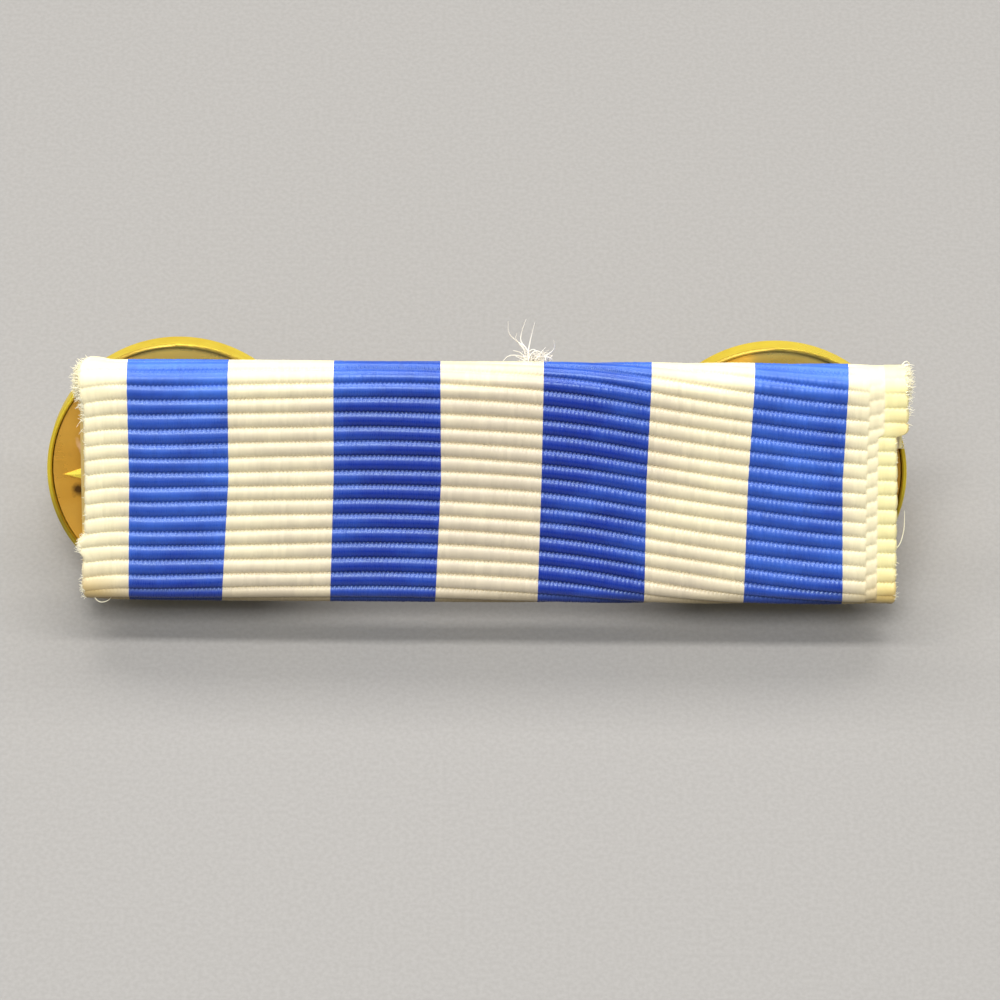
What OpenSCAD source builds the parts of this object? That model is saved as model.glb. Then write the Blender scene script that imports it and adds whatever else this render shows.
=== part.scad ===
// Ribbon bar: a ribbed ribbon wound round a brass bar, whose two posts are held by clutch backs.
// It leans back on a table, on the rims of its clutches and the lower corners of their wings.

/* [Ribbon] */
// Width of the ribbon between its woven edges
ribbon_w = 35; // [34:0.5:36]
// Thickness of the cloth in the grooves between its ribs
ribbon_t = 0.5; // [0.4:0.05:0.6]
// Distance from one rib to the next
rib_pitch = 0.66; // [0.6:0.02:0.72]
// Height of a rib above the grooves beside it
rib_h = 0.12; // [0.06:0.02:0.16]
// How far the upper cut end comes down the back
top_flap = 3.8; // [3:0.1:4]
// How far the lower cut end comes up the back
bottom_flap = 3.4; // [3:0.1:4]
// How far the upper cut end stands out past the right-hand edge
flap_overhang = 0.5; // [0:0.1:0.6]
// How far the ribbon sits to the right of the middle between the posts
ribbon_shift = 0.55; // [0:0.05:0.6]

/* [Bar] */
// Length of the brass bar inside the ribbon
bar_w = 34; // [33:0.2:34.6]
// Height of the bar
bar_h = 9.5; // [9.4:0.1:10]
// Thickness of the bar
bar_t = 0.8; // [0.7:0.05:1]
// Distance between the two posts
post_pitch = 25.7; // [25:0.1:26]
// Diameter of a post
post_d = 1.1; // [1:0.05:1.2]
// Length of a post behind the bar
post_len = 5.5; // [5.2:0.1:5.6]

/* [Clutch] */
// Diameter of a clutch
clutch_d = 11.5; // [11.2:0.1:11.6]
// Wall of the pressed brass sheet
sheet = 0.2; // [0.2:0.05:0.25]
// Depth of a clutch from its rim to the tips of its wings
clutch_depth = 6; // [5.8:0.1:6.2]
// Depth of a clutch's side wall
rim_depth = 1.45; // [1.4:0.05:1.5]
// Depth of the pressed face below the rim
face_depth = 0.25; // [0.25:0.05:0.55]
// Radius of the boss that houses the jaws
boss_r = 2.75; // [2.7:0.05:2.8]
// Radius of the nipple on the boss
nipple_r = 1.7; // [1.6:0.05:1.8]
// Height of the nipple's top above the rim
nipple_top = 5.3; // [5.3:0.05:5.4]
// Radius at which the star's points end
star_r = 5.25; // [4.65:0.1:5.25]
// Height of the star above the face
star_h = 0.2; // [0.1:0.02:0.2]

/* [Wings] */
// Width of a wing's ear
ear_w = 6.6; // [6.4:0.1:6.8]
// Radius of an ear's outer corners
ear_corner = 1.2; // [1:0.1:1.4]
// Thickness of a wing
wing_t = 0.3; // [0.25:0.05:0.3]
// Angle at which an ear leans outwards
ear_flare = 12; // [8:1:14]
// How far a wing goes in when it is squeezed
squeeze = 0.7; // [0.5:0.1:0.7]

/* [Hidden] */
$fn = 64;

LEFT = -1;
RIGHT = 1;

// Gap between two pieces that lie against each other
gap = 0.05;
// Gap between the cloth on the back and the rims of the clutches
rim_gap = 0.08;
// Gap between a post and what slides along it
post_gap = 0.06;

// The ribbon's groove line: two flats, joined by round folds over the bar's edges
roll_r = bar_t / 2 + gap + ribbon_t;
flat_half = bar_h / 2 + gap + ribbon_t - roll_r;
fold_len = PI * roll_r;
cut_top = flat_half + fold_len + top_flap - roll_r;
cut_bottom = -(flat_half + fold_len + bottom_flap - roll_r);

// The ribs run level on the left and drop towards the right.
// Columns: the place along the ribbon, from -1 at the left edge to 1 at the right, and the drop there in mm
rib_course = [
    [-1.00, 0.42],
    [-0.93, 0.27],
    [-0.77, 0.20],
    [-0.51, 0.08],
    [-0.26, 0.00],
    [0.00, 0.19],
    [0.19, 0.44],
    [0.34, 0.87],
    [0.44, 1.17],
    [0.59, 1.55],
    [0.69, 1.81],
    [0.83, 2.11],
    [1.00, 2.38]
];
smoothing = 0.05;

// The ribbon is drawn through stations along its length, with one more near the left edge for the ribs' bend
steps_along = 12;
places = concat([-1, -0.94], [for (k = [1:steps_along]) 2 * k / steps_along - 1]);
drops = [for (place = places) drop_at(place)];
stations = len(places);

// Points across a rib, as shares of its pitch, starting in the groove
rib_points = [0, 0.2, 0.5, 0.8];
per_rib = len(rib_points);
// Where the crest of the middle rib lies above the middle of the front, at the ribbon's highest course
crest_offset = -0.1;
first_rib = floor(cut_bottom / rib_pitch) - 2;
last_rib = ceil((cut_top + drops[stations - 1]) / rib_pitch) + 2;
point_count = (last_rib - first_rib) * per_rib;
inner_count = last_rib - first_rib + 1;

// The clutch, measured from the plane of its rim away from the bar
clutch_r = clutch_d / 2;
rim_r = sheet / 2;
wall_corner = 0.3;
wall_front = rim_depth - sheet;
boss_depth = 3.4;
rim_plane = roll_r + rib_h + rim_gap;

// The jaws: two tongues, one above the other, that reach past the post
jaw_half = 1.5;
jaw_end_r = 1.2;
jaw_levels = [1.75, 2.15];
bend_x = 3.25;
bend_r = 0.6;
slot_clear = 0.1;

// How far the bar leans back, from the line under a side wall's corner and under an ear's lower corner
rim_point = [rim_plane + rim_depth - wall_corner, -(clutch_r - wall_corner)];
ear_point = [rim_plane + clutch_depth - ear_corner, -(ear_w / 2 - ear_corner)];
rim_to_ear = ear_point - rim_point;
lean = atan2(rim_to_ear.y, rim_to_ear.x) - asin((ear_corner - wall_corner) / norm(rim_to_ear));
rest_z = wall_corner + rim_point.x * sin(lean) - rim_point.y * cos(lean);
front_reach = -flat_half * sin(lean) - roll_r - rib_h;
back_reach = -ear_point.y * sin(lean) + ear_point.x * cos(lean) + ear_corner;
rest_y = -(front_reach + back_reach) / 2;

// Places on the table what is drawn with x to the right, y up the bar's face and z towards the viewer
module on_table() {
    translate([0, rest_y, rest_z]) rotate([90 - lean, 0, 0]) children();
}

// Places things drawn with the rim's plane at z = 0 and the wings above it
module on_post(side) {
    on_table() translate([side * post_pitch / 2, 0, -rim_plane]) rotate([180, 0, 0]) children();
}

// How far a rib has dropped at a place along the ribbon
function drop_at(place) =
    let (before = lookup(place - smoothing, rib_course), after = lookup(place + smoothing, rib_course))
    (before + 2 * lookup(place, rib_course) + after) / 4;

// A point at a length along the groove line and a height above it, as [up the face, towards the viewer]
function wound(s, h) =
    let (
        way = s < 0 ? -1 : 1,
        past = abs(s) - flat_half,
        turn = past / roll_r * 180 / PI
    )
    past <= 0 ? [s, roll_r + h]
    : past <= fold_len
        ? [way * (flat_half + (roll_r + h) * sin(turn)), (roll_r + h) * cos(turn)]
        : [way * (flat_half - past + fold_len), -roll_r - h];

// Height of the ribbed surface above the groove line
function rib_height(s, drop) =
    let (
        turns = (s + drop - crest_offset) / rib_pitch + 0.5,
        phase = 2 * (turns - floor(turns)) - 1
    )
    rib_h * sqrt(max(0, 1 - phase * phase));

// Length along the groove line at which a point of the ribbed surface lies, before the cut ends
function point_length(i, drop) =
    (first_rib + floor(i / per_rib) + rib_points[i % per_rib] - 0.5) * rib_pitch + crest_offset - drop;

function trimmed(s) = max(cut_bottom, min(cut_top, s));

// First and last points that a station uses: those beyond a cut end are left out
function low_point(drop) = max([for (i = [0:point_count - 1]) if (point_length(i, drop) <= cut_bottom) i]);
function high_point(drop) = min([for (i = [0:point_count - 1]) if (point_length(i, drop) >= cut_top) i]);
lows = [for (drop = drops) low_point(drop)];
highs = [for (drop = drops) high_point(drop)];

// How far the right-hand edge stands out, which only the fold and the cut end behind it do
function overhang(s, j) =
    j < stations - 1 ? 0 : flap_overhang * max(0, min(1, (s - flat_half) / fold_len));

function cloth_point(s, h, j) =
    let (at = wound(s, h))
    [places[j] * ribbon_w / 2 + ribbon_shift + overhang(s, j), at[0], at[1]];

// Numbers of the points, held within the cut ends
function outer(i, j) = j * point_count + max(lows[j], min(highs[j], i));
function inner_row(i, j) = i >= highs[j] ? ceil(highs[j] / per_rib) : floor(max(i, lows[j]) / per_rib);
function inner(i, j) = stations * point_count + j * inner_count + inner_row(i, j);

function triangles(a, b, c, d) = [
    if (a != b && b != c && a != c) [a, b, c],
    if (a != c && c != d && a != d) [a, c, d]
];

// The ribbon, wound round the bar from one cut end to the other
module ribbon() {
    outer_points = [
        for (j = [0:stations - 1], i = [0:point_count - 1])
            let (s = trimmed(point_length(i, drops[j])))
            cloth_point(s, rib_height(s, drops[j]), j)
    ];
    inner_points = [
        for (j = [0:stations - 1], k = [0:inner_count - 1])
            let (s = trimmed(point_length(k * per_rib, drops[j])))
            cloth_point(s, -ribbon_t, j)
    ];
    steps = [0:point_count - 2];
    spans = [0:stations - 2];
    right = stations - 1;
    faces = [
        for (j = spans, i = steps)
            each triangles(outer(i, j), outer(i, j + 1), outer(i + 1, j + 1), outer(i + 1, j)),
        for (j = spans, k = [0:inner_count - 2])
            let (i = k * per_rib, n = i + per_rib)
            each triangles(inner(i, j), inner(n, j), inner(n, j + 1), inner(i, j + 1)),
        for (i = steps)
            each triangles(outer(i, 0), outer(i + 1, 0), inner(i + 1, 0), inner(i, 0)),
        for (i = steps)
            each triangles(outer(i, right), inner(i, right), inner(i + 1, right), outer(i + 1, right)),
        for (j = spans)
            each triangles(outer(0, j), inner(0, j), inner(0, j + 1), outer(0, j + 1)),
        for (j = spans, end = point_count - 1)
            each triangles(outer(end, j), outer(end, j + 1), inner(end, j + 1), inner(end, j))
    ];
    color("ivory") polyhedron(points = concat(outer_points, inner_points), faces = faces, convexity = 4);
}

// A post with its solder pad, a groove for the jaws and a point
module post() {
    pad_r = 1.3;
    pad_t = 0.25;
    r = post_d / 2;
    groove_r = r - 0.1;
    groove_z = post_len - 2.9;
    groove_len = 0.6;
    point_len = 1;
    point_r = 0.2;
    sunk = 0.2;
    rotate_extrude()
        polygon([
            [0, -sunk], [pad_r, -sunk], [pad_r, pad_t / 2], [pad_r - pad_t / 2, pad_t],
            [r, pad_t], [r, groove_z],
            [groove_r, groove_z + r - groove_r], [groove_r, groove_z + groove_len],
            [r, groove_z + groove_len + r - groove_r], [r, post_len - point_len],
            [point_r, post_len], [0, post_len]
        ]);
}

// The brass bar, round along its long edges, with the two posts soldered to its back
module bar() {
    edge_r = bar_t / 2;
    color("goldenrod") {
        rotate([90, 0, 90])
            linear_extrude(height = bar_w, center = true) {
                square([bar_h - bar_t, bar_t], center = true);
                for (way = [-1, 1]) translate([way * (bar_h / 2 - edge_r), 0]) circle(r = edge_r);
            }
        for (side = [LEFT, RIGHT])
            translate([side * post_pitch / 2, 0, -edge_r]) rotate([180, 0, 0]) post();
    }
}

// One raised arm of the star, a ridge that narrows to a point
module star_arm() {
    root_x = 1.3;
    root_half = 1.2;
    root_h = star_h * 0.9;
    hip_x = star_r - 0.35;
    hip_h = star_h * 0.4;
    sunk = 0.05;
    polyhedron(
        points = [
            [root_x, root_half, -sunk], [root_x, -root_half, -sunk], [star_r, 0, -sunk],
            [root_x, 0, root_h], [hip_x, 0, hip_h]
        ],
        faces = [[0, 1, 2], [0, 3, 1], [1, 4, 2], [1, 3, 4], [2, 4, 0], [0, 4, 3]]
    );
}

// The pressed face of a clutch, with a raised star round the hole for the post
module clutch_face() {
    arms = 4;
    star_turn = -2.5;
    ring_r = 1.7;
    hole_r = post_d / 2 + 0.15;
    face_r = clutch_r - 2 * rim_r - gap;
    color("goldenrod")
        difference() {
            union() {
                translate([0, 0, face_depth]) cylinder(r = face_r, h = sheet - gap);
                translate([0, 0, face_depth - star_h]) cylinder(r = ring_r, h = star_h + sheet / 2);
                for (k = [0:arms - 1])
                    rotate([180, 0, star_turn + k * 360 / arms])
                        translate([0, 0, -face_depth]) star_arm();
            }
            translate([0, 0, -1]) cylinder(r = hole_r, h = 3);
        }
}

// Half section of a clutch's shell, filled, and drawn inside the sheet's outer face by inset
module shell_section(inset) {
    dome_z = nipple_top - nipple_r;
    shoulder = 0.35;
    boss_out = boss_r - inset;
    boss_top = boss_depth - inset;
    foot = 0.18;
    translate([0, wall_front]) square([boss_out, boss_top - wall_front - shoulder]);
    translate([0, wall_front]) square([boss_out - shoulder, boss_top - wall_front]);
    translate([boss_out - shoulder, boss_top - shoulder]) circle(r = shoulder);
    translate([0, boss_top - shoulder]) square([nipple_r - inset, dome_z - boss_top + shoulder]);
    intersection() {
        translate([0, dome_z]) circle(r = nipple_r - inset);
        square([nipple_r, nipple_top]);
    }
    if (inset == 0)
        polygon([
            [0, wall_front], [boss_r + foot, wall_front], [boss_r + foot, rim_depth],
            [boss_r, rim_depth + foot], [0, rim_depth + foot]
        ]);
}

// The shell of a clutch: side wall, back wall, boss and nipple, with a slot on each side for a jaw
module clutch_shell() {
    slot_half = jaw_half + slot_clear;
    slot_low = jaw_levels[0] - slot_clear;
    slot_high = jaw_levels[1] + wing_t + slot_clear;
    color("gold")
        difference() {
            rotate_extrude() {
                shell_section(0);
                translate([0, wall_front]) square([clutch_r - wall_corner, sheet]);
                translate([clutch_r - sheet, rim_r]) square([sheet, rim_depth - rim_r - wall_corner]);
                translate([clutch_r - rim_r, rim_r]) circle(r = rim_r);
                translate([clutch_r - wall_corner, rim_depth - wall_corner])
                    difference() {
                        intersection() {
                            circle(r = wall_corner);
                            square(wall_corner);
                        }
                        circle(r = wall_corner - sheet);
                    }
            }
            rotate_extrude() {
                shell_section(sheet);
                square([boss_r - sheet, wall_front + gap]);
            }
            translate([-clutch_r, -slot_half, slot_low])
                cube([clutch_d, 2 * slot_half, slot_high - slot_low]);
        }
}

// Side view of a wing: a flat tongue, a bend and an ear that leans outwards
module wing_side(level) {
    inner_z = level + wing_t + bend_r;
    outer_r = bend_r + wing_t;
    reach = 2 * clutch_depth;
    translate([-jaw_end_r, level]) square([bend_x + jaw_end_r, wing_t]);
    translate([bend_x, inner_z]) {
        difference() {
            intersection() {
                circle(r = outer_r);
                polygon([
                    [0, 0], [0, -reach], [reach, -reach],
                    [reach * cos(ear_flare), -reach * sin(ear_flare)]
                ]);
            }
            circle(r = bend_r);
        }
        rotate([0, 0, -ear_flare]) translate([bend_r, 0]) square([wing_t, reach]);
    }
}

// The same wing from its end: a neck as wide as the tongue, and an ear with round corners
module wing_end() {
    ear_low = 2.6;
    low_corner = 0.7;
    translate([-jaw_half, 0]) square([2 * jaw_half, clutch_depth - ear_corner]);
    hull() {
        for (way = [-1, 1]) {
            translate([way * (ear_w / 2 - ear_corner), clutch_depth - ear_corner]) circle(r = ear_corner);
            translate([way * (ear_w / 2 - low_corner - 0.4), ear_low + low_corner]) circle(r = low_corner);
        }
    }
}

// Plan of a wing: its tongue ends round, and a slot in it passes the post while the wing goes in
module wing_plan() {
    slot_r = post_d / 2 + post_gap;
    difference() {
        union() {
            circle(r = jaw_end_r);
            translate([0, -jaw_end_r]) square([1, 2 * jaw_end_r]);
            translate([1, -ear_w / 2]) square([clutch_r, ear_w]);
        }
        circle(r = slot_r);
        translate([0, -slot_r]) square([squeeze, 2 * slot_r]);
        translate([squeeze, 0]) circle(r = slot_r);
    }
}

// A wing whose jaw lies at a level and whose ear stands on the side that way points to
module wing(level, way) {
    color("darkgoldenrod")
        rotate([0, 0, way > 0 ? 0 : 180])
            intersection() {
                rotate([90, 0, 0]) linear_extrude(height = ear_w, center = true) wing_side(level);
                rotate([90, 0, 90]) linear_extrude(height = 3 * clutch_r, center = true) wing_end();
                linear_extrude(height = 2 * clutch_depth) wing_plan();
            }
}

on_table() ribbon();
on_table() bar();
on_post(LEFT) clutch_face();  // left_clutch_face
on_post(LEFT) clutch_shell();  // left_clutch_shell
on_post(LEFT) wing(jaw_levels[0], LEFT);  // left_outer_wing
on_post(LEFT) wing(jaw_levels[1], RIGHT);  // left_inner_wing
on_post(RIGHT) clutch_face();  // right_clutch_face
on_post(RIGHT) clutch_shell();  // right_clutch_shell
on_post(RIGHT) wing(jaw_levels[0], RIGHT);  // right_outer_wing
on_post(RIGHT) wing(jaw_levels[1], LEFT);  // right_inner_wing
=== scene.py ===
import math
import bmesh
import bpy
import numpy as np
from mathutils import Matrix, Vector


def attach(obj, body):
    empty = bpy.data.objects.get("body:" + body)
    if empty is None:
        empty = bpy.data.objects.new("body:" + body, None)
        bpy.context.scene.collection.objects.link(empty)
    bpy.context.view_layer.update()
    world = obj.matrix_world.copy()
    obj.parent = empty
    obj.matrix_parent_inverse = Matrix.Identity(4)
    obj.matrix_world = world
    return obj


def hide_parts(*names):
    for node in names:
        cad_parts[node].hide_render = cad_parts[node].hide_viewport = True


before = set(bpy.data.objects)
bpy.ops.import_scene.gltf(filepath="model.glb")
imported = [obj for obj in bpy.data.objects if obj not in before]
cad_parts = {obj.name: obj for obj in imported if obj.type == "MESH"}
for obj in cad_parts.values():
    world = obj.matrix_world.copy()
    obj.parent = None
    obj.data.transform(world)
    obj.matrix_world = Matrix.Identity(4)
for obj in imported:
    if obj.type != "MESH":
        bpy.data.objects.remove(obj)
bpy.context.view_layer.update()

mm = 0.001
rng = np.random.default_rng(11)  # loose fibres and the small unevenness of the weave

# how the bar stands: the point of its middle plane that the ribbon is laid out from, in mm, and how many
# degrees its face leans back
stance = {"middle": (0.1, -1.98827, 6.13937), "lean": 32.0795}
leanSin = math.sin(math.radians(stance["lean"]))
leanCos = math.cos(math.radians(stance["lean"]))
middleX, middleY, middleZ = stance["middle"]


def onBar(x, up, out):
    # from mm to the right, up the face and out towards the viewer, to metres in the frame
    x, up, out = np.broadcast_arrays(x, up, out)
    away = middleY + up * leanSin - out * leanCos
    high = middleZ + up * leanCos + out * leanSin
    return np.stack([middleX + x, away, high], -1) * mm


def show(name, data):
    # a new object with this data, put in the scene
    shown = bpy.data.objects.new(name, data)
    bpy.context.scene.collection.objects.link(shown)
    return shown


# camera

camera = {
    "azimuth": -0.623, "elevation": 50.524, "roll": 0.854,  # degrees
    "distance": 215, "aim": (1.012, -0.199, 2.769),  # mm
    "lens": 176.7, "sensor": 36.0,  # mm
    "nearest": 0.01, "farthest": 10,  # m
}


def makeCamera():
    turn, rise, roll = (math.radians(camera[key]) for key in ("azimuth", "elevation", "roll"))
    back = Vector((math.sin(turn) * math.cos(rise), -math.cos(turn) * math.cos(rise), math.sin(rise)))
    right = (-back).cross(Vector((0, 0, 1))).normalized()
    up = right.cross(-back)
    side = math.cos(roll) * right + math.sin(roll) * up
    top = math.cos(roll) * up - math.sin(roll) * right
    data = bpy.data.cameras.new("camera")
    data.lens, data.sensor_width = camera["lens"], camera["sensor"]
    data.clip_start, data.clip_end = camera["nearest"], camera["farthest"]
    place = (Vector(camera["aim"]) + back * camera["distance"]) * mm
    axes = Matrix((side, top, back)).transposed().to_4x4()
    cam = show("camera", data)
    cam.matrix_world = Matrix.Translation(place) @ axes
    bpy.context.scene.camera = cam


makeCamera()
print("camera set")


# node trees

def blank(name):
    mat = bpy.data.materials.new(name)
    mat.use_nodes = True
    tree = mat.node_tree
    shader = next(n for n in tree.nodes if n.type == "BSDF_PRINCIPLED")
    return mat, tree, shader


def setSockets(tree, node, values):
    for key, value in values.items():
        if isinstance(value, bpy.types.NodeSocket):
            tree.links.new(value, node.inputs[key])
        else:
            node.inputs[key].default_value = value
    return node


def put(tree, kind, values=None, **settings):
    node = tree.nodes.new(kind)
    for key, value in settings.items():
        setattr(node, key, value)
    return setSockets(tree, node, values or {})


def rgba(colour):
    # a colour with its alpha; a socket that gives a colour is passed on as it is
    return colour if isinstance(colour, bpy.types.NodeSocket) else (*colour, 1.0)


def mix(tree, factor, a, b, blend="MIX"):
    values = {0: factor, 6: rgba(a), 7: rgba(b)}
    return put(tree, "ShaderNodeMix", values, data_type="RGBA", blend_type=blend).outputs[2]


def noise(tree, place, scale, detail=3.0, roughness=0.5, stretch=None):
    if stretch:
        place = put(tree, "ShaderNodeMapping", {"Vector": place, "Scale": stretch}).outputs[0]
    values = {"Vector": place, "Scale": scale, "Detail": detail, "Roughness": roughness}
    return put(tree, "ShaderNodeTexNoise", values).outputs[0]


def ramp(tree, factor, low, high, toLow=0.0, toHigh=1.0):
    values = {"Value": factor, "From Min": low, "From Max": high, "To Min": toLow, "To Max": toHigh}
    return put(tree, "ShaderNodeMapRange", values).outputs[0]


def rampAbout(tree, factor, base, low, high, toLow, toHigh):
    # a ramp whose own values are told from a base value
    return ramp(tree, factor, low, high, base + toLow, base + toHigh)


def maths(tree, operation, a, b):
    return put(tree, "ShaderNodeMath", {0: a, 1: b}, operation=operation).outputs[0]


def attribute(tree, name, output="Fac"):
    return put(tree, "ShaderNodeAttribute", attribute_name=name).outputs[output]


def bump(tree, height, strength, depth, under=None):
    values = {"Height": height, "Strength": strength, "Distance": depth}
    if under:
        values["Normal"] = under
    return put(tree, "ShaderNodeBump", values).outputs[0]


def objectPlace(tree):
    return put(tree, "ShaderNodeTexCoord").outputs["Object"]


# In the finishes below, a noise is its scale, detail, roughness and stretch. A ramp is where the thing it
# reads starts and ends, and its own values there. A bump is its strength, and its depth in m.

# cloth finishes

# deep is the colour in the grooves: painted shade on blue and the selvage, painted light on cream; it also
# colours random worn patches
warpLooks = {
    "blueWarp": {
        # worn is the paler shade that the cloth takes where it is paler and in random patches
        "dye": (0.004, 0.026, 0.32), "deep": (0.001, 0.012, 0.15), "worn": (0.050, 0.165, 0.69),
        # the second colour on the next line is painted shade, laid along the lower fold
        "aged": (0.03, 0.06, 0.26), "paintedFoldShade": (0.002, 0.006, 0.04),
        # the colour on the next line is a painted highlight, laid as a pale line along each rib's upper side
        "paintedGlint": (0.22, 0.34, 0.88), "paintedGlintShare": 0.29,
        "roughness": 0.28, "specular": 0.65, "shine": (0.68, 0.87, 1.0), "sheen": 0.0,
    },
    "creamWarp": {
        "dye": (0.61, 0.53, 0.395), "deep": (0.84, 0.72, 0.48), "worn": (0.93, 0.84, 0.545),
        "aged": (0.72, 0.50, 0.17), "paintedFoldShade": (0.13, 0.095, 0.04),
        "paintedGlint": (0.95, 0.88, 0.70), "paintedGlintShare": 0.15,
        "roughness": 0.42, "specular": 0.65, "shine": (1.0, 1.0, 1.0), "sheen": 0.05,
    },
    "selvageWarp": {
        "dye": (0.97, 0.86, 0.39), "deep": (0.90, 0.74, 0.30), "worn": (0.97, 0.88, 0.44),
        "aged": (0.80, 0.54, 0.15), "paintedFoldShade": (0.13, 0.095, 0.04),
        "paintedGlint": (0.95, 0.88, 0.70), "paintedGlintShare": 0.15,
        "roughness": 0.42, "specular": 0.65, "shine": (1.0, 1.0, 1.0), "sheen": 0.05,
    },
}
warpGrain = {
    "patches": (0.35, 4), "wear": (1.1, 3),
    "filaments": (1.0, 2, 0.6, (34.0, 2.2, 0.0)), "filamentBump": (0.12, 0.00003),
    "strands": (1.0, 2, 0.5, (90.0, 5.0, 0.0)), "strandBump": (0.10, 0.000012),
    "agedShare": 0.8, "sheenRoughness": 0.4,
}
warpRamps = {
    "paintedGrooveTone": (0.23, 0.79),  # painted groove tone: height in the weave, from the deep colour in the grooves to the dye
    "patches": (0.3, 0.7, -0.25, 0.25),
    "wear": (0.5, 0.75, 0.0, 0.18),
    "threadShade": (0.0, 1.0, 0.93, 1.06),
    "gloss": (0.3, 0.7, -0.06, 0.10),  # what the filaments add to the roughness
    "paleGloss": (0.4, 1.0, 0.0, 0.14),
    "grooveGloss": (0.2, 0.42, 0.35, 0.0),
    "paintedFoldShade": (-5.35, -4.7, 0.74, 0.0),  # painted shade: mm along the cloth, at its lower fold
    "paintedFoldShadeEnds": (-7.4, -6.4),
    "dulled": (-5.6, -4.7, 0.15, 1.0),
}


def warpMaterial(name):
    look = warpLooks[name]
    mat, tree, shader = blank(name)
    place = attribute(tree, "clothPlace", "Vector")  # mm across, mm along, and ribs
    rise = attribute(tree, "ribRise")
    paleShare = attribute(tree, "paleness")

    # painted shade and light: the grooves take the deep colour, darker than the dye on blue and the selvage,
    # lighter on cream
    colour = mix(tree, ramp(tree, rise, *warpRamps["paintedGrooveTone"]), look["deep"], look["dye"])
    patches = ramp(tree, noise(tree, place, *warpGrain["patches"]), *warpRamps["patches"])
    # paler towards the selvages and the upper fold, less so at the lower fold, and in random patches
    colour = mix(tree, maths(tree, "ADD", paleShare, patches), colour, look["worn"])
    # painted highlight: a pale line along each rib's upper side
    paintedGlint = maths(tree, "MULTIPLY", attribute(tree, "paintedGlint"), look["paintedGlintShare"])
    colour = mix(tree, paintedGlint, colour, look["paintedGlint"])
    wear = ramp(tree, noise(tree, place, *warpGrain["wear"]), *warpRamps["wear"])
    colour = mix(tree, wear, colour, look["deep"])
    shade = ramp(tree, attribute(tree, "threadTint"), *warpRamps["threadShade"])
    grey = put(tree, "ShaderNodeCombineColor", {"Red": shade, "Green": shade, "Blue": shade}).outputs[0]
    colour = mix(tree, 1.0, colour, grey, "MULTIPLY")
    age = maths(tree, "MULTIPLY", attribute(tree, "ageing"), warpGrain["agedShare"])
    colour = mix(tree, age, colour, look["aged"])
    length = put(tree, "ShaderNodeSeparateXYZ", {0: place}).outputs[1]
    # painted shade: the cloth darkens along its lower fold
    foldShade = ramp(tree, length, *warpRamps["paintedFoldShade"])
    foldShade = maths(tree, "MULTIPLY", foldShade, ramp(tree, length, *warpRamps["paintedFoldShadeEnds"]))
    colour = mix(tree, foldShade, colour, look["paintedFoldShade"])

    filaments = noise(tree, place, *warpGrain["filaments"])
    strands = noise(tree, place, *warpGrain["strands"])
    normal = bump(tree, filaments, *warpGrain["filamentBump"])
    normal = bump(tree, strands, *warpGrain["strandBump"], normal)
    gloss = rampAbout(tree, filaments, look["roughness"], *warpRamps["gloss"])
    gloss = maths(tree, "ADD", gloss, ramp(tree, paleShare, *warpRamps["paleGloss"]))
    gloss = maths(tree, "ADD", gloss, ramp(tree, rise, *warpRamps["grooveGloss"]))
    dulled = maths(tree, "MULTIPLY", ramp(tree, length, *warpRamps["dulled"]), look["specular"])
    setSockets(tree, shader, {
        "Base Color": colour, "Roughness": gloss, "Normal": normal,
        "Sheen Weight": look["sheen"], "Sheen Roughness": warpGrain["sheenRoughness"],
        "Specular IOR Level": dulled, "Specular Tint": rgba(look["shine"]),
    })
    return mat


fibreLooks = {
    "looseFibre": {"dull": (0.90, 0.84, 0.60), "bright": (0.97, 0.93, 0.74)},
    "blueFibre": {"dull": (0.008, 0.045, 0.38), "bright": (0.04, 0.12, 0.60)},
    "tuftFibre": {"dull": (0.78, 0.74, 0.66), "bright": (0.90, 0.86, 0.78)},
}
fibreGrain = {
    "mottle": (900, 2), "brightens": (0.35, 0.65),
    "fuzz": (6000, 2), "fuzzBump": (0.3, 0.00001),
    "roughness": 0.6, "sheen": 0.3,
}


def fibreMaterial(name):
    look = fibreLooks[name]
    mat, tree, shader = blank(name)
    place = objectPlace(tree)
    mottle = ramp(tree, noise(tree, place, *fibreGrain["mottle"]), *fibreGrain["brightens"])
    setSockets(tree, shader, {
        "Base Color": mix(tree, mottle, look["dull"], look["bright"]),
        "Normal": bump(tree, noise(tree, place, *fibreGrain["fuzz"]), *fibreGrain["fuzzBump"]),
        "Roughness": fibreGrain["roughness"], "Sheen Weight": fibreGrain["sheen"],
    })
    return mat


warps = {name: warpMaterial(name) for name in warpLooks}
fibreFinish = {name: fibreMaterial(name) for name in fibreLooks}
print("cloth finishes made")


# ribbon. A place on it is its thread, counted from the left edge, and s, the mm along the cloth from the
# middle of its face: up the face, over the upper fold and down the back, or down round the lower fold.
# w is that length counted in ribs, and h the mm that the cloth stands out from its own line.

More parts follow.
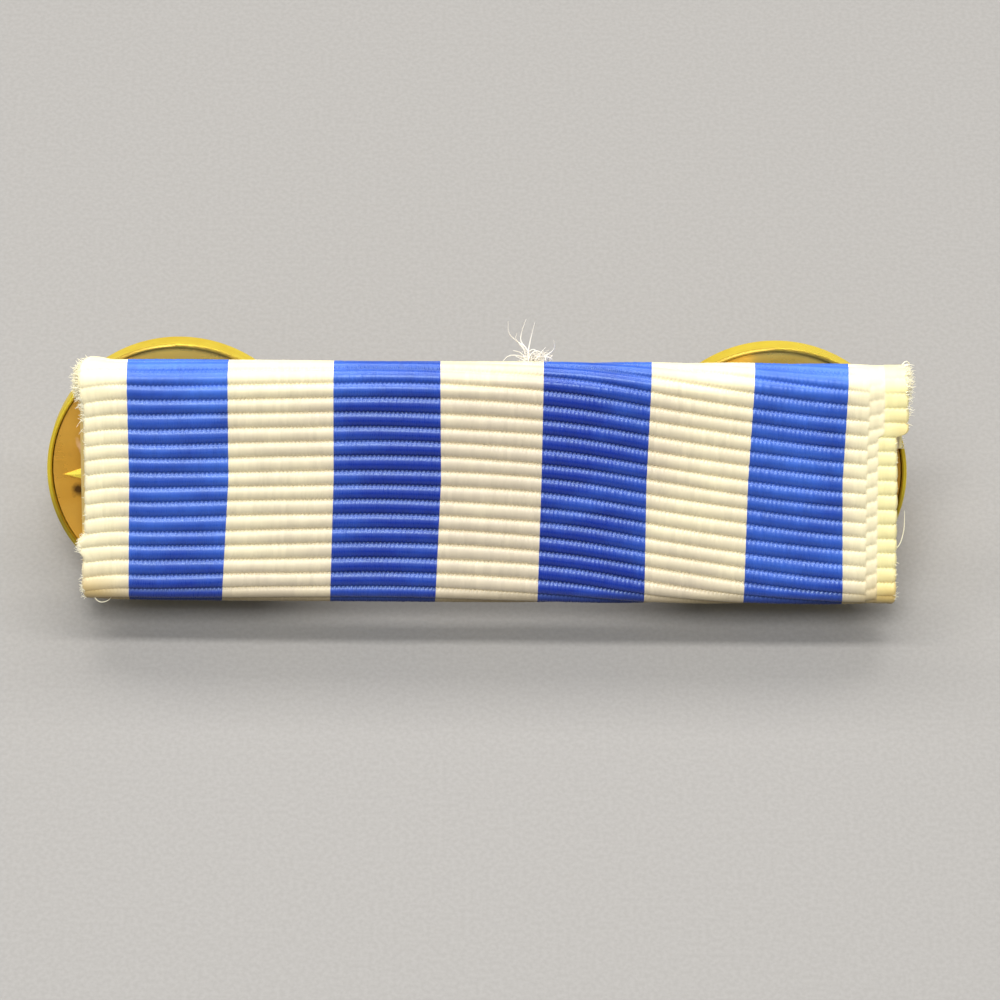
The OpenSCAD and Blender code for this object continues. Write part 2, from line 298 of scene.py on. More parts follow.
ribbon = {
    "clothThick": 0.5, "barHalfHeight": 4.75, "barHalfThick": 0.4, "slack": 0.05,
    "cutTop": 3.8, "cutBottom": 3.4,  # how far each cut end comes down or up the back
    "threads": 198, "ribPitch": 0.66,
    "crestAt": -0.16,  # where the crest of the middle rib lies before it sinks
    "relief": 0.21, "groove": 0.09,  # height of a rib, and how deep its grooves lie under the cloth's line
    "grooveRub": 1.4,  # how much a groove fills where the ribs are rubbed flat, for each share lost
    "threadGap": 0.015,  # how much lower a rib is between two threads, as a share
    "halfRib": 0.57,  # half width of a rib's round, in ribs
    "reach": 0.41, "reachMore": 0.205,  # half length of a float between threads, and what its middle adds
    "floatEnd": 0.07,  # how long a float takes to dip under the next rib, in ribs
    "steepest": 60,  # degrees that a rib's side slopes at its groove
    "paintedGlintAt": -0.74, "paintedGlintWide": 0.24,  # a painted highlight: the pale line on a rib's upper side, in its half widths
    "unevenRib": 0.05, "unevenFloat": 0.04,  # how much heights differ, as shares
    "tintByThread": 0.4,  # share of a float's tint that is its whole thread's
    "wander": 0.012,  # mm that ribs stray from their course
    "packed": 0.010,  # how much closer the ribs lie above the middle, as a share
    "edgeThreads": 9,  # how far in from an edge its bulges reach
    "edgeBulge": 0.09, "edgeScallop": 0.05,  # mm that the weft stands out as it turns back, and more at a rib
    "edgeAngles": (22, 45, 70, 95, 125, 155, 180),  # rows round that turn, in degrees
    "cornerLift": 0.17, "cornerAt": 5.6, "cornerWide": 1.2,  # the upper left corner is fluffed up, in mm
    "mostRubbed": 0.85,  # the most relief that rubbing takes, as a share
    "perThread": 4, "rowsOfRib": (0, 0.06, 0.13, 0.23, 0.36, 0.46, 0.54, 0.64, 0.77, 0.87, 0.94),
    "spareLength": 3,  # mm of ribs laid out past the upper cut, since they sink
}
rollR = ribbon["barHalfThick"] + ribbon["slack"] + ribbon["clothThick"]
flatHalf = ribbon["barHalfHeight"] + ribbon["slack"] + ribbon["clothThick"] - rollR
foldLength = math.pi * rollR
cutTop = flatHalf + foldLength + ribbon["cutTop"] - rollR
cutBottom = -(flatHalf + foldLength + ribbon["cutBottom"] - rollR)

# where a thread lies: its place near the upper fold, in the middle and near the lower fold, in mm to the
# right of the point that the stance gives
warpLines = [
    # thread, upper, middle, lower
    (0, -16.80, -16.80, -16.90),
    (12, -15.05, -15.00, -15.10),
    (35, -10.75, -10.75, -11.05),
    (61, -6.25, -6.25, -6.40),
    (86, -1.70, -1.65, -1.85),
    (111, 2.70, 2.65, 2.55),
    (137, 7.30, 7.15, 7.15),
    (162, 11.70, 11.50, 11.45),
    (184, 15.70, 15.55, 15.70),
    (198, 17.60, 17.80, 17.90),
]
warpRows = (5.2, 0.4, -4.5)  # heights up the face of those three places

# how far the ribs have sunk below their highest course
ribCourse = [
    # mm to the right, mm down
    (-17, 0.38), (-16, 0.23), (-14, 0.21), (-8, 0.07), (-4, 0.0), (0, 0.14),
    (4, 0.48), (8, 1.15), (12, 1.76), (15, 2.13), (18, 2.38),
]
wanderWaves = [
    # share, radians for each mm along and across, and radians at the start
    (1.0, 1.7, 0.35, 0.0), (0.7, 3.1, -0.22, 1.3), (0.5, 2.0, 0.9, 0.0),
]

# where an edge stands out or, with mm under 0, draws in
edgeBulges = [
    # side, mm along, mm out, half width along in mm, and how suddenly it ends
    (-1, 4.7, 0.20, 0.9, 4),
    (-1, 6.6, -0.34, 0.7, 4),
    (-1, -2.75, 0.26, 0.4, 4),
    (-1, -4.2, 0.10, 1.0, 4),
    (-1, -6.5, -0.50, 0.8, 4),
    (1, 9.2, 0.50, 2.6, 4),
    (1, 4.65, 0.50, 2.15, 30),
]

# the right selvage: a narrow chain whose slanting ribs lie half a rib off, and yellower ribs beyond it
selvage = {
    "chainFrom": 190.5, "chainTo": 193.4,
    "slant": -0.09,  # how far a chain's rib sinks from thread to thread, in ribs; under 0 it rises
    "low": 0.85,  # height of the chain's ribs, as a share
    "nick": 0.04, "nickWidth": 0.3,  # the line at either side of the chain: depth as a share, half width
    "rise": 0.04, "riseOver": 4,  # mm that the ribs beyond it lie higher, and the threads that this takes
}

# thread numbers; even stripes are cream, odd ones blue
stripeEdges = [0, 12, 35, 61, 86, 111, 137, 162, 184, 198]
stripeNames = ["creamEdgeLeft", "blueFirst", "creamFirst", "blueSecond", "creamMiddle",
               "blueThird", "creamLast", "blueFourth", "creamEdgeRight"]

# yellowed places: mm to the right and mm along, half widths both ways, and share
agedPlaces = [
    (-17.2, -5.1, 1.6, 1.0, 1.2),
    (0.0, -5.7, math.inf, 0.7, 0.5),
    (17.9, -5.2, 1.1, 1.1, 1.2),
    (18.3, 2.7, 0.6, 0.7, 0.5),
]
cutEndAge = {"from": 8.5, "over": 2.0, "share": 0.3}  # mm along, either way

# places where the ribs are rubbed flat, given in the same way
rubbedFlat = [
    (-17.0, 0.0, 1.7, 30.0, 0.45),
    (-16.4, 5.4, 2.2, 1.2, 0.35),
    (-16.8, -5.3, 1.8, 1.0, 0.30),
    (17.0, 0.0, 1.2, 30.0, 0.55),
    (16.6, 5.2, 2.4, 1.2, 0.40),
    (0.0, 6.3, 40.0, 0.7, 0.15),
]

# how much paler the cloth is, towards the selvages and the upper fold: mm to the right and share, then mm
# along and share
palenessAcross = [
    (-17, 1.0), (-15.9, 0.9), (-15.0, 0.45), (-14, 0.42), (-10, 0.40), (-4, 0.0),
    (5, 0.0), (10, 0.40), (14, 0.46), (15.5, 0.50), (16.4, 0.9), (18, 1.0),
]
palenessAlong = [(-5.5, -0.5), (-4, -0.2), (-2, 0.05), (1, 0.0), (4, 0.1), (6, 0.65)]


def smoothThrough(x, pairs):
    # a smooth curve through a few pairs of place and value
    places, values = np.array(pairs, float).T
    slopes = np.gradient(values, places)
    k = np.clip(np.searchsorted(places, x) - 1, 0, len(places) - 2)
    wide = places[k + 1] - places[k]
    u = np.clip((x - places[k]) / wide, 0, 1)
    ends = (1 + 2 * u) * (1 - u) ** 2 * values[k] + u * u * (3 - 2 * u) * values[k + 1]
    return ends + wide * (u * (1 - u) ** 2 * slopes[k] + u * u * (u - 1) * slopes[k + 1])


def spotShare(x, s, spots):
    # how much a place belongs to some soft round spots
    return sum(share * np.exp(-((x - atX) / wideX) ** 2 - ((s - atS) / wideS) ** 2)
               for atX, atS, wideX, wideS, share in spots)


def ageing(x, s):
    ends = cutEndAge["share"] * np.clip((np.abs(s) - cutEndAge["from"]) / cutEndAge["over"], 0, 1)
    return np.clip(spotShare(x, s, agedPlaces) + ends, 0, 1)


def paleness(x, s):
    return np.clip(smoothThrough(x, palenessAcross) + smoothThrough(s, palenessAlong), 0, 1)


def keptRelief(x, s):
    return 1 - np.clip(spotShare(x, s, rubbedFlat), 0, ribbon["mostRubbed"])


def wander(s, x):
    # the ribs aren't quite evenly spaced or straight
    return ribbon["wander"] * sum(share * np.sin(lengthwise * s + crosswise * x + start)
                                  for share, lengthwise, crosswise, start in wanderWaves)


def edgeShare(thread, side):
    # 1 at that edge of the ribbon, 0 from some threads in
    inward = thread if side < 0 else ribbon["threads"] - thread
    t = np.clip(1 - inward / ribbon["edgeThreads"], 0, 1)
    return t * t * (3 - 2 * t)


def clothX(thread, s):
    lines = np.array(warpLines)
    upper, middle, lower = (np.interp(thread, lines[:, 0], lines[:, column]) for column in (1, 2, 3))
    height = np.clip(s, warpRows[2] - 1, warpRows[0] + 1)
    over = (height - warpRows[1]) / (warpRows[0] - warpRows[1])
    under = (height - warpRows[1]) / (warpRows[2] - warpRows[1])
    x = middle + np.where(height > warpRows[1], (upper - middle) * over, (lower - middle) * under)
    for side, at, amount, width, sudden in edgeBulges:
        x = x + side * amount * edgeShare(thread, side) * np.exp(-((s - at) / width) ** sudden)
    return x


def clothLine(s, h):
    # up the face and out, for a length and a height over the cloth's line
    way = np.where(s < 0, -1.0, 1.0)
    past = np.abs(s) - flatHalf
    turn = np.clip(past / rollR, 0, math.pi)
    up = np.where(past <= 0, s, way * (flatHalf + (rollR + h) * np.sin(turn)))
    up = np.where(past > foldLength, way * (flatHalf - (past - foldLength)), up)
    return up, (rollR + h) * np.cos(turn)


ribCount = 60  # more than the cloth has, for the tables of unevenness
floatShape = (ribCount, ribbon["threads"] + 2)
ribUneven = 1 + ribbon["unevenRib"] * rng.uniform(-1, 1, ribCount)
floatUneven = rng.uniform(-1, 1, floatShape)
floatTint = rng.uniform(0, 1, floatShape) * (1 - ribbon["tintByThread"])
floatTint = floatTint + rng.uniform(0, 1, floatShape[1]) * ribbon["tintByThread"]


def floats(thread, w):
    # height of the weave from 0 to 1, which rib and which float lies on top, and how far across the rib.
    # Each rib shows every second thread, so that its floats lie half a place beside the next rib's.
    best = np.full(np.broadcast(thread, w).shape, -1.0)
    rib, cell, across = np.zeros(best.shape, int), np.zeros(best.shape, int), np.zeros(best.shape)
    slope = math.radians(ribbon["steepest"])
    for step in (-1, 0, 1):
        k = np.floor(w).astype(int) + step
        place = thread + 0.5 * (k % 2)
        number = np.clip(np.floor(place + 1e-6).astype(int), 0, ribbon["threads"] + 1)
        middle = np.sin(math.pi * place) ** 2  # 1 along the middle of a float, 0 between two
        row = np.clip(k + ribCount // 2, 0, ribCount - 1)
        off = w - k - 0.5
        side = np.clip(off / ribbon["halfRib"], -1, 1) * math.sin(slope)
        lift = (np.sqrt(1 - side ** 2) - math.cos(slope)) / (1 - math.cos(slope))
        reach = ribbon["reach"] + ribbon["reachMore"] * middle
        end = np.clip((reach - np.abs(off)) / ribbon["floatEnd"], 0, 1)
        lift = lift * (1 - (1 - end) ** 2) * (1 - ribbon["threadGap"] * (1 - np.sqrt(middle)))
        lift = lift * ribUneven[row] * (1 + ribbon["unevenFloat"] * floatUneven[row, number] * middle)
        better = lift > best
        best = np.where(better, lift, best)
        across = np.where(better, -off / ribbon["halfRib"], across)
        rib = np.where(better, k, rib)
        cell = np.where(better, number, cell)
    return best, rib, cell, across


def weave(thread, w):
    # the plain weave, with the right selvage's chain set off by half a rib
    inChain = (thread >= selvage["chainFrom"]) & (thread < selvage["chainTo"])
    middle = (selvage["chainFrom"] + selvage["chainTo"]) / 2
    rise, rib, cell, across = floats(thread, w + inChain * (0.5 + selvage["slant"] * (thread - middle)))
    rise = np.where(inChain, rise * selvage["low"], rise)
    for at in (selvage["chainFrom"], selvage["chainTo"]):
        rise = rise * (1 - selvage["nick"] * np.exp(-((thread - at) / selvage["nickWidth"]) ** 2))
    return rise, rib, cell, across


def stripeColour(thread):
    # 0 where a thread is cream, 1 where it is blue
    return np.searchsorted(stripeEdges[1:-1], thread, side="right") % 2


def fillMesh(name, points, faces, slots, materials, mapping=None, values=None):
    mesh = bpy.data.meshes.new(name)
    mesh.from_pydata(points.tolist(), [], faces.tolist())
    for material in materials:
        mesh.materials.append(material)
    mesh.polygons.foreach_set("material_index", slots.astype(np.int32))
    mesh.polygons.foreach_set("use_smooth", np.full(len(mesh.polygons), True))
    for key, data in (values or {}).items():
        flat = data.ndim == 1
        layer = mesh.attributes.new(key, "FLOAT" if flat else "FLOAT_VECTOR", "POINT")
        layer.data.foreach_set("value" if flat else "vector", data.astype(np.float32).ravel())
    if mapping is not None:
        corners = np.zeros(len(mesh.loops), np.int32)
        mesh.loops.foreach_get("vertex_index", corners)
        layer = mesh.uv_layers.new(name="OFBake")
        layer.data.foreach_set("uv", mapping[corners].astype(np.float32).ravel())
    work = bmesh.new()
    work.from_mesh(mesh)
    bmesh.ops.remove_doubles(work, verts=work.verts, dist=1e-7)
    work.to_mesh(mesh)
    work.free()
    mesh.update()
    return show(name, mesh)


def gridFaces(rows, columns):
    r, c = np.meshgrid(np.arange(rows - 1), np.arange(columns - 1), indexing="ij")
    a = (r * columns + c).ravel()
    return np.stack([a, a + 1, a + columns + 1, a + columns], -1)


def clothPiece(name, x, s, h, faces, slots, finishes, mapping, values):
    # a piece that stands for the ribbon's solid, and moves with the bar
    up, out = clothLine(s, h)
    piece = fillMesh(name, onBar(x, up, out).reshape(-1, 3), faces, slots.ravel(), finishes, mapping, values)
    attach(piece, "bar")
    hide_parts("ribbon")
    return piece


def clothGrid(threads, turnedSides):
    # everything about the points of some threads' cloth: x, s, h, rise, w and thread
    lowRib = math.floor(cutBottom / ribbon["ribPitch"]) - 1
    highRib = math.ceil((cutTop + ribbon["spareLength"]) / ribbon["ribPitch"]) + 1
    w = np.concatenate([k + np.array(ribbon["rowsOfRib"]) for k in range(lowRib, highRib)])[:, None]
    thread = threads[None, :] + 0 * w
    threadX = clothX(thread, 0.0)
    lifted = np.clip((thread - selvage["chainTo"]) / selvage["riseOver"], 0, 1)
    drop = smoothThrough(threadX, ribCourse) - selvage["rise"] * lifted
    s = (w - 0.5) * ribbon["ribPitch"] + ribbon["crestAt"] - drop
    s = s - ribbon["packed"] * np.maximum(s, 0) + wander(s, threadX)
    kept = np.clip(s, cutBottom, cutTop)
    w = w + (kept - s) / ribbon["ribPitch"]
    rise = weave(thread, w)[0]
    relief = keptRelief(threadX, kept)
    corner = np.exp(-((kept - ribbon["cornerAt"]) / ribbon["cornerWide"]) ** 2)
    h = ribbon["relief"] * rise * relief - ribbon["groove"] * (1 - ribbon["grooveRub"] * (1 - relief))
    h = h + ribbon["cornerLift"] * corner * edgeShare(thread, -1)
    columns = [(clothX(thread, kept), kept, h, rise, w, thread)]
    # the weft turns back round each edge of the ribbon: half an ellipse from its face to its inner side
    for side in turnedSides:
        x, length, height, lift, ribs, number = [v[:, :1] if side < 0 else v[:, -1:] for v in columns[0]]
        turned = []
        for angle in np.radians(ribbon["edgeAngles"]):
            out = (ribbon["edgeBulge"] + ribbon["edgeScallop"] * lift) * math.sin(angle)
            deep = (height + ribbon["clothThick"]) * (1 + math.cos(angle)) / 2 - ribbon["clothThick"]
            turned.append((x + side * out, length, deep, lift * max(0, math.cos(angle)), ribs, number))
        columns = turned[::-1] + columns if side < 0 else columns + turned
    return [np.concatenate(parts, 1) for parts in zip(*columns)]


def stripe(index):
    step = 1 / ribbon["perThread"]
    sides = [-1] * (index == 0) + [1] * (index == len(stripeNames) - 1)
    threads = np.arange(stripeEdges[index], stripeEdges[index + 1] + step / 2, step)
    x, s, h, rise, w, thread = clothGrid(threads, sides)
    rows, columns = s.shape
    slots = np.where((thread[:-1, :-1] + thread[:-1, 1:]) / 2 > selvage["chainTo"], 2, index % 2)
    rib, cell, across = weave(thread, w)[1:]
    values = {
        "clothPlace": np.stack([x, s, w], -1).reshape(-1, 3),
        "threadTint": floatTint[np.clip(rib + ribCount // 2, 0, ribCount - 1), cell].ravel(),
        "ribRise": rise.ravel(),
        # painted highlight: how near each point lies to the pale line on its rib's upper side
        "paintedGlint": np.exp(-((across - ribbon["paintedGlintAt"]) / ribbon["paintedGlintWide"]) ** 2).ravel(),
        "ageing": ageing(x, s).ravel(),
        "paleness": paleness(x, s).ravel(),
    }
    mapping = np.stack(np.meshgrid(np.linspace(0, 1, columns), np.linspace(0, 1, rows)), -1).reshape(-1, 2)
    finishes = [warps["creamWarp"], warps["blueWarp"], warps["selvageWarp"]]
    return clothPiece(stripeNames[index], x, s, h, gridFaces(rows, columns), slots, finishes, mapping, values)


stripes = [stripe(index) for index in range(len(stripeNames))]
print("stripes woven:", sum(len(p.data.polygons) for p in stripes), "faces")


# the ribbon's smooth side, against the bar

innerCloth = {
    "columns": 100, "rows": 150,
    "finish": {"threadTint": 0.5, "ribRise": 0.6, "ageing": 0.2, "paleness": 0.2, "paintedGlint": 0.0},
}


def innerFace():
    threads = np.linspace(0, ribbon["threads"], innerCloth["columns"])[None, :]
    s = np.linspace(cutBottom, cutTop, innerCloth["rows"])[:, None] + 0 * threads
    x = clothX(threads, s)
    middles = (threads[:, 1:] + threads[:, :-1]) / 2 + 0 * s[1:, 1:]
    values = {"clothPlace": np.stack([x, s, s / ribbon["ribPitch"]], -1).reshape(-1, 3)}
    for key, value in innerCloth["finish"].items():
        values[key] = np.full(x.size, value)
    faces = gridFaces(*x.shape)[:, ::-1]
    finishes = [warps["creamWarp"], warps["blueWarp"]]
    h = np.full(x.shape, -ribbon["clothThick"])
    return clothPiece("ribbonInside", x, s, h, faces, stripeColour(middles), finishes, None, values)


inside = innerFace()


# loose fibres. Their points are mm to the right, up the face and out, from root to tip.

fibre = {"sides": 5, "taper": 0.35, "across": (0.31, 0.22, 0.93)}  # across: a way that no fibre runs

# the frayed tuft at the top of the middle stripe
tuft = {
    "radius": 0.036, "rings": 18,
    "strands": [
        [(2.20, 5.10, -0.50), (2.12, 5.47, -0.60), (1.95, 5.83, -0.65), (1.47, 6.23, -0.60),
         (1.21, 6.54, -0.50), (1.17, 7.07, -0.45)],
        [(2.25, 5.15, -0.40), (2.17, 5.43, -0.50), (1.99, 5.79, -0.60), (1.73, 6.14, -0.70),
         (1.77, 6.54, -0.80), (1.94, 7.12, -0.70)],
        [(2.10, 5.15, -0.30), (2.04, 5.56, -0.40), (2.08, 5.92, -0.60), (2.20, 6.46, -0.75),
         (2.32, 6.99, -0.70)],
        [(2.55, 5.20, -0.40), (2.68, 5.43, -0.50), (2.94, 5.61, -0.60), (3.15, 5.84, -0.60),
         (3.14, 6.24, -0.50)],
        [(2.05, 5.20, -0.30), (2.08, 5.47, -0.35), (2.21, 5.70, -0.40), (2.42, 5.79, -0.40),
         (2.64, 5.66, -0.40), (2.80, 5.30, -0.40)],
        [(1.95, 5.15, -0.50), (1.99, 5.47, -0.60), (2.16, 5.74, -0.70), (2.38, 5.70, -0.70),
         (2.51, 5.30, -0.60)],
        [(2.10, 5.15, -0.50), (2.04, 5.34, -0.60), (1.82, 5.52, -0.70), (1.65, 5.65, -0.70),
         (1.39, 5.74, -0.60)],
        [(2.00, 5.15, -0.60), (1.87, 5.38, -0.70), (1.48, 5.47, -0.80), (1.18, 5.42, -0.80),
         (0.97, 5.24, -0.70)],
        [(1.90, 5.60, -0.60), (1.86, 5.78, -0.60), (1.60, 6.14, -0.55), (1.50, 6.34, -0.50),
         (1.56, 6.56, -0.45)],
    ],
}
# the short curls round its foot
clump = {
    "middle": (2.42, 5.30, -0.55), "half": (0.44, 0.26, 0.35),
    "count": 140, "radius": 0.024, "rings": 9,
    "rootSpread": (1, 0.3, 1), "rootDrop": (0, 0.15, 0), "bendRise": (0, 0.22, 0),
    "curl": 0.9, "waver": 0.06,
}

# single threads that stand off the edges
strays = {
    "radius": 0.028, "rings": 14,
    "strands": [
        [(-16.60, -5.20, 0.50), (-16.50, -5.29, 0.60), (-16.30, -5.36, 0.64), (-16.04, -5.30, 0.60),
         (-15.90, -5.20, 0.45)],
        [(17.95, -2.75, 0.60), (18.16, -2.40, 0.65), (18.28, -1.90, 0.60), (18.31, -1.45, 0.50),
         (18.30, -1.02, 0.45)],
        [(17.95, 5.15, -0.40), (18.20, 5.40, -0.50), (18.35, 5.30, -0.60), (18.38, 5.08, -0.70),
         (18.26, 4.85, -0.70)],
        [(18.05, 4.70, -0.60), (18.25, 4.62, -0.70), (18.49, 4.42, -0.75), (18.37, 4.02, -0.70),
         (18.55, 3.79, -0.70), (18.36, 3.43, -0.70)],
        [(18.10, 3.90, -0.70), (18.35, 3.95, -0.70), (18.50, 4.15, -0.65), (18.62, 4.45, -0.60)],
    ],
}

# short fibres that stand off the selvages, in bunches
fuzz = {
    "bunches": [
        # side, middle and spread along the cloth, how many, shortest and longest, all lengths in mm
        (-1, 4.6, 0.65, 900, 0.08, 0.36),
        (-1, 5.9, 0.45, 320, 0.08, 0.30),
        (-1, -2.7, 0.25, 120, 0.06, 0.22),
        (-1, -5.3, 0.6, 160, 0.06, 0.24),
        (-1, 0.0, 4.5, 120, 0.05, 0.2),
        (1, 5.2, 0.9, 420, 0.08, 0.34),
        (1, -4.6, 1.2, 50, 0.06, 0.22),
        (1, 0.0, 4.5, 90, 0.05, 0.16),
        (-1, -10.0, 2.0, 60, 0.06, 0.25),
        (1, 10.0, 2.0, 60, 0.06, 0.25),
    ],
    "root": (-0.42, 0.06),  # mm out from the cloth's line
    "upward": (0.1, 0.35), "outward": (0, 0.3),  # mean and spread of a fibre's slant
    "bendAt": 0.55, "bendWaver": 0.12, "tipWaver": 0.25,  # shares of its length
    "radius": (0.011, 0.019), "rings": 6,
}

# the warp's ends along both cuts on the back, in mm
cutEnds = {
    "every": 0.5,  # threads
    "back": 0.25, "root": (-0.42, 0.02), "tip": (-0.45, 0.05),
    "sideways": (-1, 1),  # threads
    "past": (0.02, 0.22), "bentOut": (-0.05, 0.04), "deepest": 0.12, "waver": 0.02,
    "radius": (0.018, 0.03), "rings": 5,
}


def smoothLine(points, count):
    # a curve through the points, evenly resampled
    points = np.array(points, float)
    fine = np.linspace(0, len(points) - 1, 12 * len(points))
    padded = np.vstack([2 * points[0] - points[1], points, 2 * points[-1] - points[-2]])
    k = np.clip(np.floor(fine).astype(int), 0, len(points) - 2)
    u = (fine - k)[:, None]
    before, start, end, after = padded[k], padded[k + 1], padded[k + 2], padded[k + 3]
    line = 0.5 * (2 * start + (end - before) * u + (2 * before - 5 * start + 4 * end - after) * u ** 2
                  + (3 * start - before - 3 * end + after) * u ** 3)
    reached = np.concatenate([[0], np.cumsum(np.linalg.norm(np.diff(line, axis=0), axis=1))])
    even = np.linspace(0, reached[-1], count)
    return np.stack([np.interp(even, reached, line[:, axis]) for axis in range(3)], -1)


def tube(line, radius):
    # rings round a line in mm, thinner towards its far end
    sides = fibre["sides"]
    ahead = np.gradient(line, axis=0)
    ahead /= np.linalg.norm(ahead, axis=1)[:, None] + 1e-12
    across = np.cross(ahead, fibre["across"])
    across /= np.linalg.norm(across, axis=1)[:, None] + 1e-12
    over = np.cross(ahead, across)
    turn = (np.arange(sides) * 2 * math.pi / sides)[None, :, None]
    size = radius * (1 - (1 - fibre["taper"]) * np.linspace(0, 1, len(line)) ** 2)
    circles = np.cos(turn) * across[:, None, :] + np.sin(turn) * over[:, None, :]
    rings = line[:, None, :] + size[:, None, None] * circles
    r, c = np.meshgrid(np.arange(len(line) - 1), np.arange(sides), indexing="ij")
    here = (r * sides + c).ravel()
    beside = (r * sides + (c + 1) % sides).ravel()
    return rings.reshape(-1, 3), np.stack([here, beside, beside + sides, here + sides], -1)


def fibrePiece(name, lines, finishes, colours=None):
    # lines are (points, radius), and colours the finish of each line, by its number
    allPoints, allFaces, slots, start = [], [], [], 0
    for number, (line, radius) in enumerate(lines):
        points, faces = tube(line, radius)
        allPoints.append(points)
        allFaces.append(faces + start)
        slots.append(np.full(len(faces), colours[number] if colours else 0))
        start += len(points)
    x, up, out = np.concatenate(allPoints).T
    materials = [fibreFinish[finish] for finish in finishes]
    piece = fillMesh(name, onBar(x, up, out), np.concatenate(allFaces), np.concatenate(slots), materials)
    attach(piece, "bar")
    return piece


def handLaid(group):
    return [(smoothLine(points, group["rings"]), group["radius"]) for points in group["strands"]]


def clothPoint(thread, s, h):
    x = clothX(np.array([float(thread)]), np.array([s]))
    up, out = clothLine(np.array([s]), np.array([h]))
    return np.array([x[0], up[0], out[0]])


def makeTuft():
    lines = handLaid(tuft)
    middle, half = np.array(clump["middle"]), np.array(clump["half"])
    curl, waver = clump["curl"], clump["waver"]
    for _ in range(clump["count"]):
        root = middle + half * rng.uniform(-1, 1, 3) * clump["rootSpread"] - clump["rootDrop"]
        bend = root + half * rng.uniform(-curl, curl, 3) + clump["bendRise"]
        tip = bend + half * rng.uniform(-curl, curl, 3)
        between = (root + bend) / 2 + rng.uniform(-waver, waver, 3)
        lines.append((smoothLine([root, between, bend, tip], clump["rings"]), clump["radius"]))
    return fibrePiece("frayedTuft", lines, ["tuftFibre"])


def makeEdgeFuzz():
    lines = handLaid(strays)
    for side, middle, spread, count, shortest, longest in fuzz["bunches"]:
        for _ in range(count):
            s = float(np.clip(rng.normal(middle, spread), cutBottom, cutTop))
            root = clothPoint(0 if side < 0 else ribbon["threads"], s, rng.uniform(*fuzz["root"]))
            length = rng.uniform(shortest, longest)
            out = np.array([side, rng.normal(*fuzz["upward"]), rng.normal(*fuzz["outward"])]) * length
            bend = root + out * fuzz["bendAt"] + rng.normal(0, fuzz["bendWaver"], 3) * length
            tip = root + out + rng.normal(0, fuzz["tipWaver"], 3) * length
            lines.append((smoothLine([root, bend, tip], fuzz["rings"]), rng.uniform(*fuzz["radius"])))
    return fibrePiece("selvageFuzz", lines, ["looseFibre"])


def makeCutEnds():
    lines, colours = [], []
    waver = cutEnds["waver"]
    for s, way in ((cutTop, 1), (cutBottom, -1)):
        for thread in np.arange(cutEnds["every"], ribbon["threads"], cutEnds["every"]):
            root = clothPoint(thread, s - way * cutEnds["back"], rng.uniform(*cutEnds["root"]))
            tip = clothPoint(thread + rng.uniform(*cutEnds["sideways"]), s, rng.uniform(*cutEnds["tip"]))
            past = -way * rng.uniform(*cutEnds["past"])
            tip = tip + np.array([0, past, rng.uniform(*cutEnds["bentOut"])])
            tip[2] = max(tip[2], -rollR - cutEnds["deepest"])
            bend = (root + tip) / 2 + rng.uniform(-waver, waver, 3)
            lines.append((smoothLine([root, bend, tip], cutEnds["rings"]), rng.uniform(*cutEnds["radius"])))
            colours.append(int(stripeColour(thread)))
    return fibrePiece("cutEndFibres", lines, ["looseFibre", "blueFibre"], colours)


fibres = [makeTuft(), makeEdgeFuzz(), makeCutEnds()]
print("fibres made:", sum(len(p.data.polygons) for p in fibres), "faces")


# brass

brassLooks = {
    "clutchFace": {
        "gold": (0.59, 0.255, 0.017), "dull": (0.42, 0.165, 0.010), "worn": (0.95, 0.62, 0.12),
        "metal": 0.40, "roughness": 0.30, "scale": 420, "rubbedEdge": 0.4,
        "shine": (1.0, 0.84, 0.45),
    },
    "clutchShell": {
        "gold": (0.93, 0.72, 0.055), "dull": (0.70, 0.46, 0.035), "worn": (1.0, 0.84, 0.14),
        "metal": 0.55, "roughness": 0.32, "scale": 380, "rubbedEdge": 0.15,
        "shine": (1.0, 0.86, 0.30),
    },
    "wingBrass": {
        "gold": (0.84, 0.58, 0.13), "dull": (0.55, 0.34, 0.07), "worn": (1.0, 0.80, 0.30),
        "metal": 0.90, "roughness": 0.34, "scale": 500, "rubbedEdge": 0.5,
        "shine": (1.0, 0.90, 0.65),
    },
    "barBrass": {
        "gold": (0.74, 0.52, 0.16), "dull": (0.44, 0.28, 0.08), "worn": (1.0, 0.80, 0.36),
        "metal": 0.90, "roughness": 0.38, "scale": 300, "rubbedEdge": 0.5,
        "shine": (1.0, 0.90, 0.65),
    },
}
brassGrain = {
    # here a noise's scale is a share of the finish's own
    "tarnish": (1, 5, 0.6), "tarnishBump": (0.10, 0.00003),
    "spots": (4, 3, 0.55),
    "scratches": (3, 2, 0.5, (0.25, 6.0, 0.6)), "scratchBump": (0.12, 0.00001),
}
brassRamps = {
    "tarnish": (0.42, 0.72, 0.0, 0.85),
    "spots": (0.66, 0.8, 0.0, 0.5),
    "edge": (0.5, 0.58),
    "gloss": (0.35, 0.75, -0.06, 0.14),  # what the tarnish adds to the roughness
    "scratchGloss": (0.45, 0.7, 0.0, 0.08),
}

# a clutch's face: its star is worn bright and partly has a painted highlight, and painted light brightens it
# above the ribbon
faceMarks = {
    "star": (-1.398, -1.37), "wornAndHighlit": (1.0, 0.80, 0.10),  # mm out, where the star rises from the face; the star's colour is worn brass and partly a painted highlight
    "paintedLightAbove": (3.6, 5.4, 0.0, 0.9), "paintedLightColour": (1.0, 0.66, 0.12),  # painted light: from and to mm up the face, the shares there, and its colour
    "ragged": (0.3, 0.7, -0.3, 0.3), "markEdge": (0.4, 1.0),  # how a spot or painted reflection ends
}
# on the left face: a dark spot under the star's point, and a painted reflection above it, a pale streak
spotAndReflection = [
    # mm right and up, half length and half width, degrees it is turned, colour, share
    (-17.42, -0.92, 0.42, 0.35, 0, (0.06, 0.025, 0.006), 0.95),
    (-17.20, 0.92, 0.60, 0.16, -68, (1.0, 0.66, 0.40), 0.6),
]
